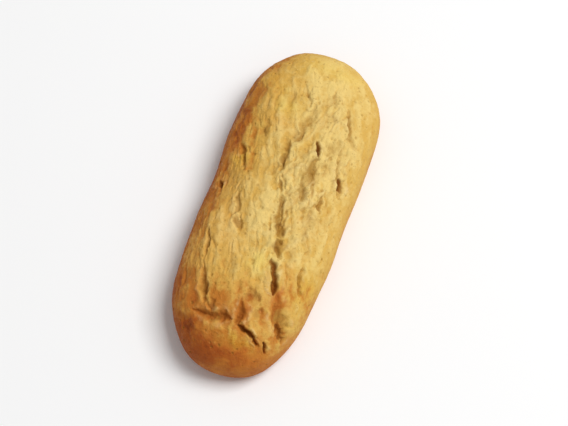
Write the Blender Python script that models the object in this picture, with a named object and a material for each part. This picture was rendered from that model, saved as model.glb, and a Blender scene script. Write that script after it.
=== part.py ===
"""An oblong baked biscuit with a domed, cracked crust and a flat base, as one solid.

The frame is in metres, +Z up. The biscuit lies along Y on the plane z = 0, its base centred on the origin.
"""

from typing import NamedTuple

import bmesh
import bpy
import numpy as np

MM = 0.001

# Driving dimensions of the whole biscuit
LENGTH = 100 * MM
WIDTH = 41 * MM
HEIGHT = 20.5 * MM
WIDEST_AT = 6.5 * MM  # height of the widest line above the base
UNDER_DEPTH = 9.5 * MM  # the lower half would reach this far down if the tray hadn't flattened it

# How full the rounded body is: 2 is an ellipse, more is squarer
FULL_ACROSS = 2.1
FULL_ALONG = 4.2
FULL_UP = 2.0
FULL_UNDER = 3.0

# What hand piping does to the even shape
TAPER = 0.035  # share by which the far end is wider
BEND = 0.9 * MM  # both ends stand this far towards +X
SLANT = -0.114  # the ends are slanted by this much for each metre across

# Broad unevenness of the dome: height, wave length across, wave length along, phase
SWELLS = (
    (0.32 * MM, 38 * MM, 61 * MM, 0.4),
    (0.26 * MM, 27 * MM, -44 * MM, 2.1),
    (0.18 * MM, 19 * MM, 23 * MM, 4.0),
)

# Ragged edges of the cracks: how far the edge strays, and over what length
STRAY = 1.0 * MM
STRAY_LENGTH = 4.2 * MM
LEAST_HALF_WIDTH = 0.05 * MM  # at a crack's two tips
OPEN_FROM = 0.02 * MM  # a groove deeper than this has no lip in it

# Raised lip of crust beside each crack
LIP_SHARE = 0.16  # of the crack's depth
LIP_AT = 1.35  # in half-widths from the crack's middle
LIP_SPREAD = 0.4

# Crumbly crags between the cracks on the near right of the crown
CRAG_HEIGHT = 0.34 * MM
CRAG_LENGTH = 2.6 * MM
CRAG_CENTRE = (6.5 * MM, 1 * MM)
CRAG_REACH = (9 * MM, 30 * MM)
CRAG_CORE = 0.25  # share of that reach over which the crags keep their full height

# The crust's relief fades in between these shares of the widest line's height
RELIEF_FROM = 0.25
RELIEF_FULL = 1.0

STRAY_X_SEED, STRAY_Y_SEED, CRAG_SEED = 11, 12, 13

SPHERE_SUBDIVISIONS = 8
SOLID_TRIANGLES = 10400
RADIAL_HALVINGS = 34
CUTTER_DEPTH = 8 * MM
CUTTER_MARGIN = 10 * MM
LATTICE = 128

CRUST_COLOUR = (0.74, 0.48, 0.19, 1.0)
CRUST_ROUGHNESS = 0.72


class Crack(NamedTuple):
    """A split in the crust: a bowed line between two points of the plan, in millimetres."""

    start: tuple
    end: tuple
    bow: float
    half_width: float
    depth: float


CRACKS = (
    # The long split, from the middle of the crown to the near right
    Crack((0.5, 25.0), (-1.2, 13.0), 0.8, 1.1, 0.7),
    Crack((-1.4, 15.5), (0.6, 4.0), -0.5, 1.0, 1.0),
    Crack((0.0, 5.5), (4.6, -6.0), 0.4, 1.0, 1.3),
    Crack((3.6, -3.5), (8.8, -18.6), -0.5, 1.5, 1.7),
    Crack((7.0, -18.6), (11.4, -30.0), 0.3, 1.6, 2.4),
    Crack((10.0, -27.0), (15.6, -39.4), -0.4, 2.0, 1.5),
    # Pits and troughs right of it
    Crack((5.9, 20.0), (8.2, 13.0), 0.2, 1.0, 2.3),
    Crack((8.4, 13.6), (7.4, -0.5), 0.9, 1.5, 0.8),
    Crack((3.0, 31.0), (1.2, 18.5), 0.9, 1.4, 0.6),
    Crack((10.6, 32.0), (14.0, 23.0), 0.3, 0.9, 0.8),
    Crack((13.4, 19.0), (17.8, 4.6), 0.4, 0.9, 1.2),
    Crack((14.8, 11.8), (16.6, 7.4), 0.0, 1.1, 1.9),
    Crack((12.4, 3.0), (14.4, -2.6), 0.0, 0.9, 1.0),
    Crack((15.6, -18.0), (16.9, -25.4), 0.2, 0.9, 1.0),
    # Left flank
    Crack((-15.2, 14.0), (-10.6, 4.4), -0.6, 1.0, 1.3),
    Crack((-16.4, 0.6), (-15.0, -3.0), 0.0, 0.9, 1.2),
    Crack((-7.6, -3.0), (-7.4, -10.6), -0.9, 0.9, 1.1),
    Crack((-7.6, -9.6), (-4.8, -15.4), -0.3, 0.9, 1.0),
    Crack((-13.8, -12.5), (-10.8, -26.0), -0.5, 0.9, 1.1),
    Crack((-11.0, -25.0), (-3.4, -38.6), 0.5, 1.1, 1.6),
    # Splits across the near end
    Crack((-12.6, -37.4), (2.0, -39.0), 0.9, 1.2, 1.3),
    Crack((3.4, -31.6), (4.6, -39.4), -0.6, 1.1, 1.3),
    Crack((1.2, -38.6), (11.6, -42.4), -0.4, 1.1, 2.1),
    Crack((12.3, -40.8), (13.4, -44.0), 0.0, 0.8, 1.5),
)


def lattice_noise(x, y, cell, seed):
    """Smooth random values from -1 to 1: one for each corner of a square lattice, blended between them."""
    table = np.random.default_rng(seed).uniform(-1, 1, (LATTICE, LATTICE))
    ix, iy = np.floor(x / cell), np.floor(y / cell)
    fx, fy = x / cell - ix, y / cell - iy
    fx, fy = fx * fx * (3 - 2 * fx), fy * fy * (3 - 2 * fy)
    ix, iy = ix.astype(int) % LATTICE, iy.astype(int) % LATTICE
    jx, jy = (ix + 1) % LATTICE, (iy + 1) % LATTICE
    near = table[ix, iy] * (1 - fx) + table[jx, iy] * fx
    far = table[ix, jy] * (1 - fx) + table[jx, jy] * fx
    return near * (1 - fy) + far * fy


def rounded_body(direction):
    """Points of |x|^a + |y|^b + |z|^c = 1 along each direction, stretched to the biscuit's sizes.

    The distance along each direction is found by halving, because the powers differ.
    """
    across, along, up = np.abs(direction).T
    fullness = np.where(direction[:, 2] > 0, FULL_UP, FULL_UNDER)
    low, high = np.zeros(len(direction)), np.full(len(direction), 2.0)
    for _ in range(RADIAL_HALVINGS):
        reach = (low + high) / 2
        inside = (
            (across * reach) ** FULL_ACROSS
            + (along * reach) ** FULL_ALONG
            + (up * reach) ** fullness
        ) < 1
        low, high = np.where(inside, reach, low), np.where(inside, high, reach)
    share = direction * low[:, None]
    station = share[:, 1]
    x = share[:, 0] * WIDTH / 2 * (1 + TAPER * station) + BEND * station**2
    y = station * LENGTH / 2 + SLANT * x
    above = share[:, 2] > 0
    z = WIDEST_AT + share[:, 2] * np.where(above, HEIGHT - WIDEST_AT, UNDER_DEPTH)
    return np.stack([x, y, z], axis=1)


def crack_relief(x, y, crack):
    """Depth of one crack, and the lip beside it, at points of the plan.

    The line bows as a parabola, and its width swells and dies away as a half sine from end to end.
    """
    start, end = np.array(crack.start) * MM, np.array(crack.end) * MM
    length = np.hypot(*(end - start))
    ahead = (end - start) / length
    along = ((x - start[0]) * ahead[0] + (y - start[1]) * ahead[1]) / length
    aside = (x - start[0]) * ahead[1] - (y - start[1]) * ahead[0]
    along = np.clip(along, 0, 1)
    swell = np.sqrt(np.sin(np.pi * along))
    aside = np.abs(aside - crack.bow * MM * 4 * along * (1 - along))
    offset = aside / np.maximum(crack.half_width * MM * swell, LEAST_HALF_WIDTH)
    groove = np.clip(1 - offset, 0, 1)
    groove = groove * groove * (3 - 2 * groove)
    lip = LIP_SHARE * np.exp(-(((offset - LIP_AT) / LIP_SPREAD) ** 2))
    return crack.depth * MM * swell * (lip - groove)


def crust_relief(x, y):
    """How far the crust stands out from the rounded body: swells, crags and cracks."""
    stray_x = x + STRAY * lattice_noise(x, y, STRAY_LENGTH, STRAY_X_SEED)
    stray_y = y + STRAY * lattice_noise(x, y, STRAY_LENGTH, STRAY_Y_SEED)
    relief = np.zeros_like(x)
    for height, across, along, phase in SWELLS:
        relief += height * np.sin(2 * np.pi * (x / across + y / along) + phase)
    from_crags = np.hypot(
        (x - CRAG_CENTRE[0]) / CRAG_REACH[0], (y - CRAG_CENTRE[1]) / CRAG_REACH[1]
    )
    craggy = np.clip(1 + CRAG_CORE - from_crags, 0, 1)
    crags = lattice_noise(stray_x, stray_y, CRAG_LENGTH, CRAG_SEED)
    relief += CRAG_HEIGHT * craggy * crags
    splits = np.zeros_like(x)
    lips = np.zeros_like(x)
    for crack in CRACKS:
        one = crack_relief(stray_x, stray_y, crack)
        splits = np.minimum(splits, one)
        lips = np.maximum(lips, one)
    return relief + np.where(splits < -OPEN_FROM, splits, lips)


def make_material():
    material = bpy.data.materials.new("baked_crust")
    material.use_nodes = True
    shader = material.node_tree.nodes["Principled BSDF"]
    shader.inputs["Base Color"].default_value = CRUST_COLOUR
    shader.inputs["Roughness"].default_value = CRUST_ROUGHNESS
    shader.inputs["Metallic"].default_value = 0.0
    return material


def make_tray_cutter():
    """A slab whose top is the baking tray, which flattens the base."""
    bm = bmesh.new()
    bmesh.ops.create_cube(bm, size=1)
    side = LENGTH + 2 * CUTTER_MARGIN
    bmesh.ops.scale(bm, vec=(side, side, CUTTER_DEPTH), verts=bm.verts)
    bmesh.ops.translate(bm, vec=(0, 0, -CUTTER_DEPTH / 2), verts=bm.verts)
    mesh = bpy.data.meshes.new("tray_cutter")
    bm.to_mesh(mesh)
    bm.free()
    cutter = bpy.data.objects.new("tray_cutter", mesh)
    bpy.context.scene.collection.objects.link(cutter)
    cutter.hide_render = True
    cutter.display_type = "WIRE"
    return cutter


def make_cookie(cutter):
    """A fine sphere pushed out to the biscuit's form, given its relief, and thinned to few triangles."""
    bm = bmesh.new()
    bmesh.ops.create_icosphere(bm, subdivisions=SPHERE_SUBDIVISIONS, radius=1)
    mesh = bpy.data.meshes.new("cookie")
    bm.to_mesh(mesh)
    bm.free()
    count = len(mesh.vertices)
    flat = np.empty(count * 3, np.float32)
    mesh.vertices.foreach_get("co", flat)
    body = rounded_body(flat.reshape(-1, 3).astype(float))
    mesh.vertices.foreach_set("co", body.astype(np.float32).ravel())
    mesh.update()
    mesh.vertex_normals.foreach_get("vector", flat)
    normal = flat.reshape(-1, 3).astype(float)
    rise = (body[:, 2] / WIDEST_AT - RELIEF_FROM) / (RELIEF_FULL - RELIEF_FROM)
    body += normal * (np.clip(rise, 0, 1) * crust_relief(body[:, 0], body[:, 1]))[:, None]
    body[:, :2] -= (body.min(axis=0) + body.max(axis=0))[:2] / 2
    mesh.vertices.foreach_set("co", body.astype(np.float32).ravel())
    mesh.update()
    mesh.shade_smooth()
    cookie = bpy.data.objects.new("cookie", mesh)
    bpy.context.scene.collection.objects.link(cookie)
    thin = cookie.modifiers.new("fewer_triangles", "DECIMATE")
    thin.ratio = SOLID_TRIANGLES / len(mesh.polygons)
    tray = cookie.modifiers.new("flat_base", "BOOLEAN")
    tray.operation = "DIFFERENCE"
    tray.solver = "EXACT"
    tray.object = cutter
    mesh.materials.append(make_material())
    return cookie


def main():
    for obj in list(bpy.data.objects):
        bpy.data.objects.remove(obj, do_unlink=True)
    make_cookie(make_tray_cutter())


main()
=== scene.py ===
"""Dresses the oblong cookie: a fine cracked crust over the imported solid, on a pale floor in soft light.

Lengths are in metres and +Z is up. The cookie lies along Y, its base centred on the origin.
"""

from itertools import product
from math import pi, radians
from typing import NamedTuple

import bpy
import numpy as np
from bpy.props import FloatProperty, FloatVectorProperty, IntProperty, PointerProperty
from mathutils import Matrix, Vector


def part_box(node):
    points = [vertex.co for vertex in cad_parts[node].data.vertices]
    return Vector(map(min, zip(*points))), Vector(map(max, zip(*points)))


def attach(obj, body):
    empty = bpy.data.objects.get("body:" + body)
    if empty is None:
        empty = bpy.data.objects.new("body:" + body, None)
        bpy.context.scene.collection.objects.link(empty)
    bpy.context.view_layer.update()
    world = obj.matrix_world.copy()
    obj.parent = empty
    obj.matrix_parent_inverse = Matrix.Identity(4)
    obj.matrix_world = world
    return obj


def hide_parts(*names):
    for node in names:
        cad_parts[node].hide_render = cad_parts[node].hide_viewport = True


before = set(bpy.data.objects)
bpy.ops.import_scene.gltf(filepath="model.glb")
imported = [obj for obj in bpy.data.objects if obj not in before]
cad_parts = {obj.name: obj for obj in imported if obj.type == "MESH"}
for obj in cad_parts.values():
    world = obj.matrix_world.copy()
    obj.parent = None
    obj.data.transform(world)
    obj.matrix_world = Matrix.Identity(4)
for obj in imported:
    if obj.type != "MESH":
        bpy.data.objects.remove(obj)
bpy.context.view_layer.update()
COOKIE_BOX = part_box("cookie")

bl_info = {
    "name": "Cracked cookie",
    "version": (1, 0, 0),
    "blender": (4, 5, 0),
    "location": "View3D > Sidebar > Cookie",
    "description": "Makes an oblong cracked cookie and the pale stage that it lies on",
    "category": "Add Mesh",
}

MM = 0.001

# How full the rounded body is: 2 is an ellipse, more is squarer
FULL_ACROSS = 2.1
FULL_ALONG = 4.2
FULL_UP = 2.0
FULL_UNDER = 3.0

# What hand piping does to the even shape
TAPER = 0.035  # share by which the far end is wider
BEND = 0.9 * MM  # both ends stand this far towards +X
SLANT = -0.114  # the ends are slanted by this much for each metre across

# The left flank is drawn in a little along the middle of the cookie's length
WAIST = 1.15 * MM
WAIST_FAR = (32 * MM, 2 * MM)  # from none to full, coming from the far end
WAIST_NEAR = (-40 * MM, -24 * MM)  # and coming from the near end
WAIST_ACROSS = (-9 * MM, -19 * MM)  # and from the crown out to the flank

# Broad unevenness of the dome: height, wave length across, wave length along, phase
SWELLS = (
    (0.32 * MM, 38 * MM, 61 * MM, 0.4),
    (0.26 * MM, 27 * MM, -44 * MM, 2.1),
    (0.18 * MM, 19 * MM, 23 * MM, 4.0),
)

# Ragged edges of the cracks: how far the edge strays, and over what length
STRAY = 1.0 * MM
STRAY_LENGTH = 4.2 * MM
FINE_STRAYS = ((0.5 * MM, 1.7 * MM), (0.22 * MM, 0.8 * MM))
LEAST_HALF_WIDTH = 0.05 * MM

# The groove of a crack, and the bell curve of a trough
GROOVE_FULLNESS = 1.25  # over 1, the groove's floor is flat
BELL_STEEPNESS = 1.6
HOLLOW_LOST = 0.6  # share of a trough that is lost inside a crack

# Raised lip of crust beside each crack
LIP_SHARE = 0.16  # of the crack's depth
LIP_AT = 1.35  # in half-widths from the crack's middle
LIP_SPREAD = 0.4
LIP_ENDS_AT = 0.25 * MM  # no lip stands where a crack is this deep
LIP_PATCH = 3 * MM  # lips come and go over this length

# The narrower torn core along a crack
CORE_WIDTH = 0.62  # of the crack's half-width
CORE_SHARE = 0.55  # of the crack's depth, where it is torn all along
CORE_WANDER = 0.3  # how far the core strays from the middle, in half-widths

# How dark a crack is, by where across it and by its depth in millimetres: partly darker crumb, partly
# painted shade that deepens with depth
TORN_IN_CORE, TORN_IN_GROOVE = 0.55, 0.45
TORN_POWER = 0.7
SHALLOW_TORN = 0.4  # what the shallowest crack has of its darkness
TORN_DEPTH = 3  # and the depth that would add all of it
FULL_FLOOR_DEPTH = 1.2  # the crumb shows in full from this depth on

# Crumbly crags between the cracks on the near right of the crown
CRAG_HEIGHT = 0.476 * MM
CRAG_LENGTH = 2.6 * MM
CRAG_CENTRE = (6.5 * MM, 1 * MM)
CRAG_REACH = (9 * MM, 30 * MM)
CRAG_CORE = 0.25  # share of that reach over which the crags keep their full height

# Where the crown has broken into loose crumbs
CRUMBLY_CENTRE = (8.5 * MM, 10 * MM)
CRUMBLY_REACH = (9 * MM, 26 * MM)
BROKEN_PATCH = 5 * MM
GAP_WIDTH, CRUMB_EDGE = 0.34, 0.3  # in cells
GAP_DEPTH = 0.8

# The crown, in shares of the height and from none to full at each end
CROWN_UP = (0.32, 0.7)
CROWN_NEAR = (-49 * MM, -40 * MM)
CROWN_FAR = (49 * MM, 36 * MM)

# Wrinkles and fissures of the crown
LOOSE_FAR, LOOSE_CELL = 0.6 * MM, 2.6 * MM  # how far their patterns are shaken, and over what length
LENGTHWISE_WRINKLES, SLANTING_WRINKLES = 0.95, 1.9
FISSURE_WIDTH = 0.2  # in cells
CREASE_WIDTH = 0.22
CREASE_PATCH = 7 * MM
CREASES_FADE = (-36 * MM, -28 * MM)

# Open bubbles: one to a cell, with radii in cells
PORE_CELL = 2.0 * MM
PORE_LEAST, PORE_SPREAD = 0.10, 0.18

# Strands of crumb inside the cracks and troughs
STRAND_HEIGHT = 0.34 * MM
STRANDS_FADE = (-39 * MM, -33 * MM)

# Where pale crumbs lie, how high a lip stands to be palest, partly as a painted highlight, and how uneven
# the painted shade in the troughs is
FLOUR_PATCH = 3.4 * MM
FLOUR_AND_HIGHLIGHT_LIP = 0.2 * MM
TROUGH_SHADE_PATCH = 1.5 * MM

# The crust's relief fades in between these shares of the widest line's height
RELIEF_FROM = 0.25
RELIEF_FULL = 1.0

# How baked each place is, with painted shade on the left side: what is baked brown everywhere, and what
# each place adds, from none to full
BROWNED = 0.1
# The left side darkens, partly baked browner and partly painted shade
LEFT_BROWNED_AND_SHADED, LEFT_BROWNS_AND_SHADES = 0.26, (4 * MM, -20 * MM)
NEAR_BROWNED, NEAR_BROWNS, TIP_BROWNS = 0.22, (-20 * MM, -35 * MM), (-34 * MM, -46 * MM)
FLANK_BROWNED = 0.42
LEFT_FLANK, RIGHT_FLANK = (0.08, 0.62), (0.4, 0.9)  # in shares of the height, down from the top; the left one's higher start is partly painted shade

# How red each place is baked, from none to full; on the left partly painted shade and reddish bounce
# light
NEAR_RUDDY, NEAR_REDDENS = 0.3, (-20 * MM, -40 * MM)
LOW_RUDDY, LOW_REDDENS = 0.4, (0.5, 0.95)
LEFT_RUDDY_AND_SHADED, LEFT_REDDENS_AND_SHADES = 0.25, (2 * MM, -12 * MM)

# How the spots are pushed about, fade in up the flank and round off
SPOT_DRIFT = (1.6 * MM, 4 * MM, 110)  # how far, over what length, and the seed
SPOT_RAGGED = (0.7 * MM, 1.3 * MM, 113)
SPOTS_UP = (0.1, 0.55)
SPOT_STEEPNESS = 0.8

# Seeds of the other random draws
STRAY_X_SEED, STRAY_Y_SEED, CRAG_SEED, CORE_SEED = 11, 12, 13, 14
FINE_STRAY_X_SEED, FINE_STRAY_Y_SEED = 40, 50
LIP_SEED, LOOSE_SEED = 58, 60
CREASE_PATCH_SEED, BROKEN_SEED, PORE_SEED = 79, 83, 90
FLOUR_SEED, HOLLOW_SEED = 95, 97

LATTICE = 128
SLOPES = 256
SLOPE_GAIN = 1.6  # brings slope noise to about -1 to 1
FARTHEST = 9.0  # farther, in cells, than any point of the cells around
RADIAL_HALVINGS = 34
GRAIN_LEAN = radians(17)  # the crust's splits lean this far from the cookie's length
SLANT_LEAN = radians(-14)  # and the troughs among the crags lean the other way
BASE_GAP = 1  # degrees between the fine grid's rim and the base's

# The crust's colours: the sizes of their patches, and where each bake's colour stands on the ramp
BLOTCH, MOTTLE, SPECK, SAND, DUST = 7 * MM, 1.6 * MM, 0.9 * MM, 0.5 * MM, 0.26 * MM
PALE_AT, GOLD_AT, AMBER_AT, BROWN_AT, DARK_AT = 0.0, 0.28, 0.55, 0.8, 1.0
# The last of these browns the valleys between wrinkles and crumbs: painted shade
BLOTCH_TONE, MOTTLE_TONE, SAND_TONE, VALLEY_SHADE = 0.35, 0.26, 0.14, 0.45
DARK_SPECKS, PALE_SPECKS = (0.6, 0.74), (0.4, 0.27)
DARK_SPECK, PALE_SPECK = 0.4, 0.16
BUMP_HEIGHT = 0.55 * MM
BUMP_STRENGTH = 0.85
CRUST_SHINE, FLOOR_SHINE = 0.12, 0.1
FLOOR_PATCH = 0.25

# The stage
KEY_PLACE = (0.55, 0.3, 1.15)
KEY_SIZE = 0.7
LOOK_AT = (-0.12 * MM, 0.27 * MM)
SENSOR_WIDTH = 36
FAR_CLIP = 20


class Crack(NamedTuple):
    """A split in the crust: a bowed line between two points of the plan, in millimetres."""

    start: tuple
    end: tuple
    bow: float
    half_width: float
    depth: float
    torn: float = 0.3  # how much of it is a dark core: partly ripped crumb, partly painted shade


CRACKS = (
    # The long split, from the middle of the crown to the near right
    Crack((2.6, 25), (-0.6, 14.6), -0.5, 1.1, 0.7, 0.1),
    Crack((-2.2, 15.6), (0.4, 5.4), 0.3, 1, 0.9, 0.15),
    Crack((0, 5), (2.4, -1.6), 0.2, 0.7, 0.7, 0.15),
    Crack((2, -0.2), (4.4, -5.4), 0.1, 1.1, 1, 0.3),
    Crack((3.2, -4), (6.6, -12.8), -0.3, 1.3, 1, 0.15),
    Crack((5.6, -12.6), (9.4, -18.4), -0.2, 1.4, 1.2, 0.3),
    Crack((6.8, -18.8), (9.8, -26), 0.3, 1.5, 1.7, 0.8),
    Crack((8, -22), (10.9, -27.9), -0.1, 1.9, 2, 1),
    Crack((11.2, -26.4), (15.9, -39.4), -0.9, 2, 1, 0.3),
    # Pits and troughs right of it
    Crack((6.3, 18.8), (8.4, 13.2), 0.2, 1.35, 2, 1),
    Crack((8.4, 13.6), (7.4, -0.5), 0.9, 1.5, 0.8, 0.1),
    Crack((3, 31), (1.2, 18.5), 0.9, 1.4, 0.6, 0),
    Crack((10.6, 32), (14, 23), 0.3, 0.9, 0.8, 0.4),
    Crack((13.4, 19), (17.8, 4.6), 0.4, 0.9, 0.7, 0.05),
    Crack((15.7, 12.2), (17.3, 7.8), 0, 1.4, 1.9, 1),
    Crack((12.4, 3.6), (14.2, -1.4), 0, 0.9, 1, 0.4),
    Crack((15.6, -18), (16.9, -25.4), 0.2, 0.9, 1, 0.2),
    # Left flank
    Crack((-14.6, 12.4), (-10.8, 3.8), 0.1, 1.3, 1, 0.4),
    Crack((-17.7, 1.4), (-16.1, -2.4), 0, 1.4, 1.2, 0.8),
    Crack((-9.2, -3), (-8.8, -10.8), -0.9, 1.2, 0.8, 0.35),
    Crack((-7.8, -9.6), (-4.6, -15.4), -0.3, 1, 0.9, 0.4),
    Crack((-13.6, -15), (-11.2, -25), -0.3, 1.1, 0.9, 0.3),
    Crack((-11, -25), (-3.4, -38.6), 1.2, 0.9, 0.9, 0.2),
    # Splits across the near end
    Crack((-9.6, -37.9), (2.8, -38.5), 0.9, 1.5, 1.2, 0.5),
    Crack((3.8, -31), (3.4, -39.6), -0.9, 1.5, 1.4, 0.6),
    Crack((3, -38.9), (10.9, -42.9), -0.3, 1.2, 2, 0.8),
    Crack((12.1, -40.9), (13.2, -43.6), 0, 1.1, 1.5, 0.8),
)

# Hairline splits, too fine for the solid
HAIRLINES = (
    Crack((10.5, -18), (13, -24), 0.2, 0.5, 0.5),
    Crack((-3, 34), (0.5, 27), 0.3, 0.5, 0.4),
    Crack((-6, 31), (-5, 28), 0.1, 0.5, 0.4),
    Crack((-8.5, 18), (-7.5, 14), 0.2, 0.45, 0.4),
    Crack((-5, -17), (-2, -30), 0.4, 0.5, 0.45),
    Crack((-4, -24), (-3, -29), 0.2, 0.4, 0.35),
    Crack((-0.5, -12), (2.4, -23), -0.3, 0.45, 0.35),
    Crack((5, 38), (7.2, 31), 0.2, 0.5, 0.35),
    Crack((9.2, 8), (11.4, -2), 0.3, 0.45, 0.4),
    Crack((-9.5, 30), (-8, 22), 0.3, 0.45, 0.3),
    Crack((12.4, -6), (14.6, -15), -0.3, 0.5, 0.4),
    Crack((-10, 1), (-9.2, -6), 0.3, 0.45, 0.4),
    Crack((14.6, -33.4), (16.3, -38.8), 0.2, 1, 1.4, 0.9),
)

# Soft shallow hollows between the splits, darkened with painted shade
TROUGHS = (
    # Along the long split
    Crack((4.4, 28.8), (1.2, 18.6), 0.3, 1.8, 0.8, 0.05),
    Crack((1.1, 18.8), (-0.9, 14.6), 0, 1.8, 1, 0.2),
    Crack((-1.8, 14.2), (-1.2, 10.4), 0.2, 1.2, 0.8, 0.15),
    Crack((-1, 11), (0.1, 6.6), 0.2, 1.2, 0.9, 0.25),
    Crack((-1.6, 8.8), (-2.4, 3.6), 0, 1.5, 0.7, 0.05),
    Crack((2.6, -0.6), (4.4, -5), 0.2, 1.3, 0.7, 0.2),
    Crack((3.2, -4.8), (5, -11.2), -0.2, 1.1, 0.7, 0.1),
    Crack((4.8, -6), (6.6, -11.4), 0.2, 1.1, 0.8, 0.2),
    Crack((5.8, -13.2), (8.8, -17.6), 0.1, 1.7, 1, 0.3),
    # Among the crags right of it
    Crack((7.4, 13.6), (8.8, 4.4), 0.2, 2.1, 1, 0.1),
    Crack((7.4, 3.8), (8, -1), 0, 1.5, 0.7, 0),
    Crack((4.2, 16), (3.4, 9.8), 0.3, 1.5, 0.6, 0),
    Crack((7, 34.8), (6.2, 29.6), 0.2, 1.6, 0.7, 0),
    Crack((8.6, 28.4), (5.6, 22.6), -0.3, 1.3, 0.3, 0),
    Crack((12.2, 21.6), (9.8, 15.8), -0.2, 1.3, 0.6, 0.05),
    Crack((5.4, 12.4), (2.6, 6.6), -0.2, 1.2, 0.6, 0.05),
    Crack((12.6, 14.2), (10.8, 8.6), -0.2, 1.2, 0.3, 0),
    Crack((6.4, 3.2), (4.6, -2.8), -0.2, 1.2, 0.5, 0),
    Crack((11, -13.6), (12.6, -19.6), 0.2, 1.1, 0.5, 0),
    Crack((14.6, -12.4), (15.2, -17), 0.2, 1.1, 0.4, 0),
    Crack((16.6, 2.6), (17, -5), 0.2, 1.1, 0.4, 0),
    Crack((13.2, 24.8), (15.4, 20.2), 0, 1.3, 0.7, 0.05),
    Crack((11.8, -2), (13.6, -8), 0.2, 1.6, 0.8, 0.05),
    Crack((12.8, -7.6), (12.6, -12), 0, 1.5, 0.6, 0),
    Crack((15.8, -17), (16.4, -25.6), 0, 1, 0.4, 0.05),
    # Left of it
    Crack((-9.3, 19.8), (-7.4, 13.6), 0.2, 1.3, 0.7, 0),
    Crack((-4.6, 9), (-4, 3.4), 0, 1, 0.4, 0),
    Crack((-11.8, 28.6), (-10.4, 22.2), 0.2, 1.2, 0.5, 0),
    Crack((-6.2, 31.8), (-4.2, 25.4), 0.2, 1.5, 0.6, 0),
    Crack((-2.8, 34.6), (0.2, 27), 0.2, 0.9, 0.6, 0.05),
    Crack((-4.4, -20), (-1, -30), 0.3, 1.2, 0.5, 0),
    Crack((0, -27.6), (1.4, -31.4), 0, 1.1, 0.5, 0),
    # Near end
    Crack((4.2, -31.4), (7.8, -30.4), 0, 1.5, 1.1, 0.3),
    Crack((8.6, -32.4), (7.4, -36.6), 0, 1.5, 0.8, 0.05),
    Crack((-14.8, -28.4), (-13.6, -33.2), 0.2, 1.6, 0.6, 0),
    Crack((-8.2, -31), (-6.4, -34.4), 0, 1.1, 0.8, 0.5),
    Crack((-5.2, -34.8), (-3.4, -38), 0, 1.2, 0.9, 0.4),
    Crack((-12.4, -40), (-6, -43.4), 0.4, 1.5, 0.5, 0.1),
    Crack((-9, -38.2), (2.6, -38.4), 0.9, 1.9, 0.7, 0.25),
    Crack((14.2, -34.6), (16.4, -39), 0, 1.1, 0.9, 0.3),
)


class Spot(NamedTuple):
    """A rounded patch of the crust, in millimetres of the plan: most baked unlike their surroundings, a
    few are painted light or shade.
    """

    centre: tuple
    reach: tuple
    browned: float
    ruddy: float = 0.0
    golden: float = 0.0


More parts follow.
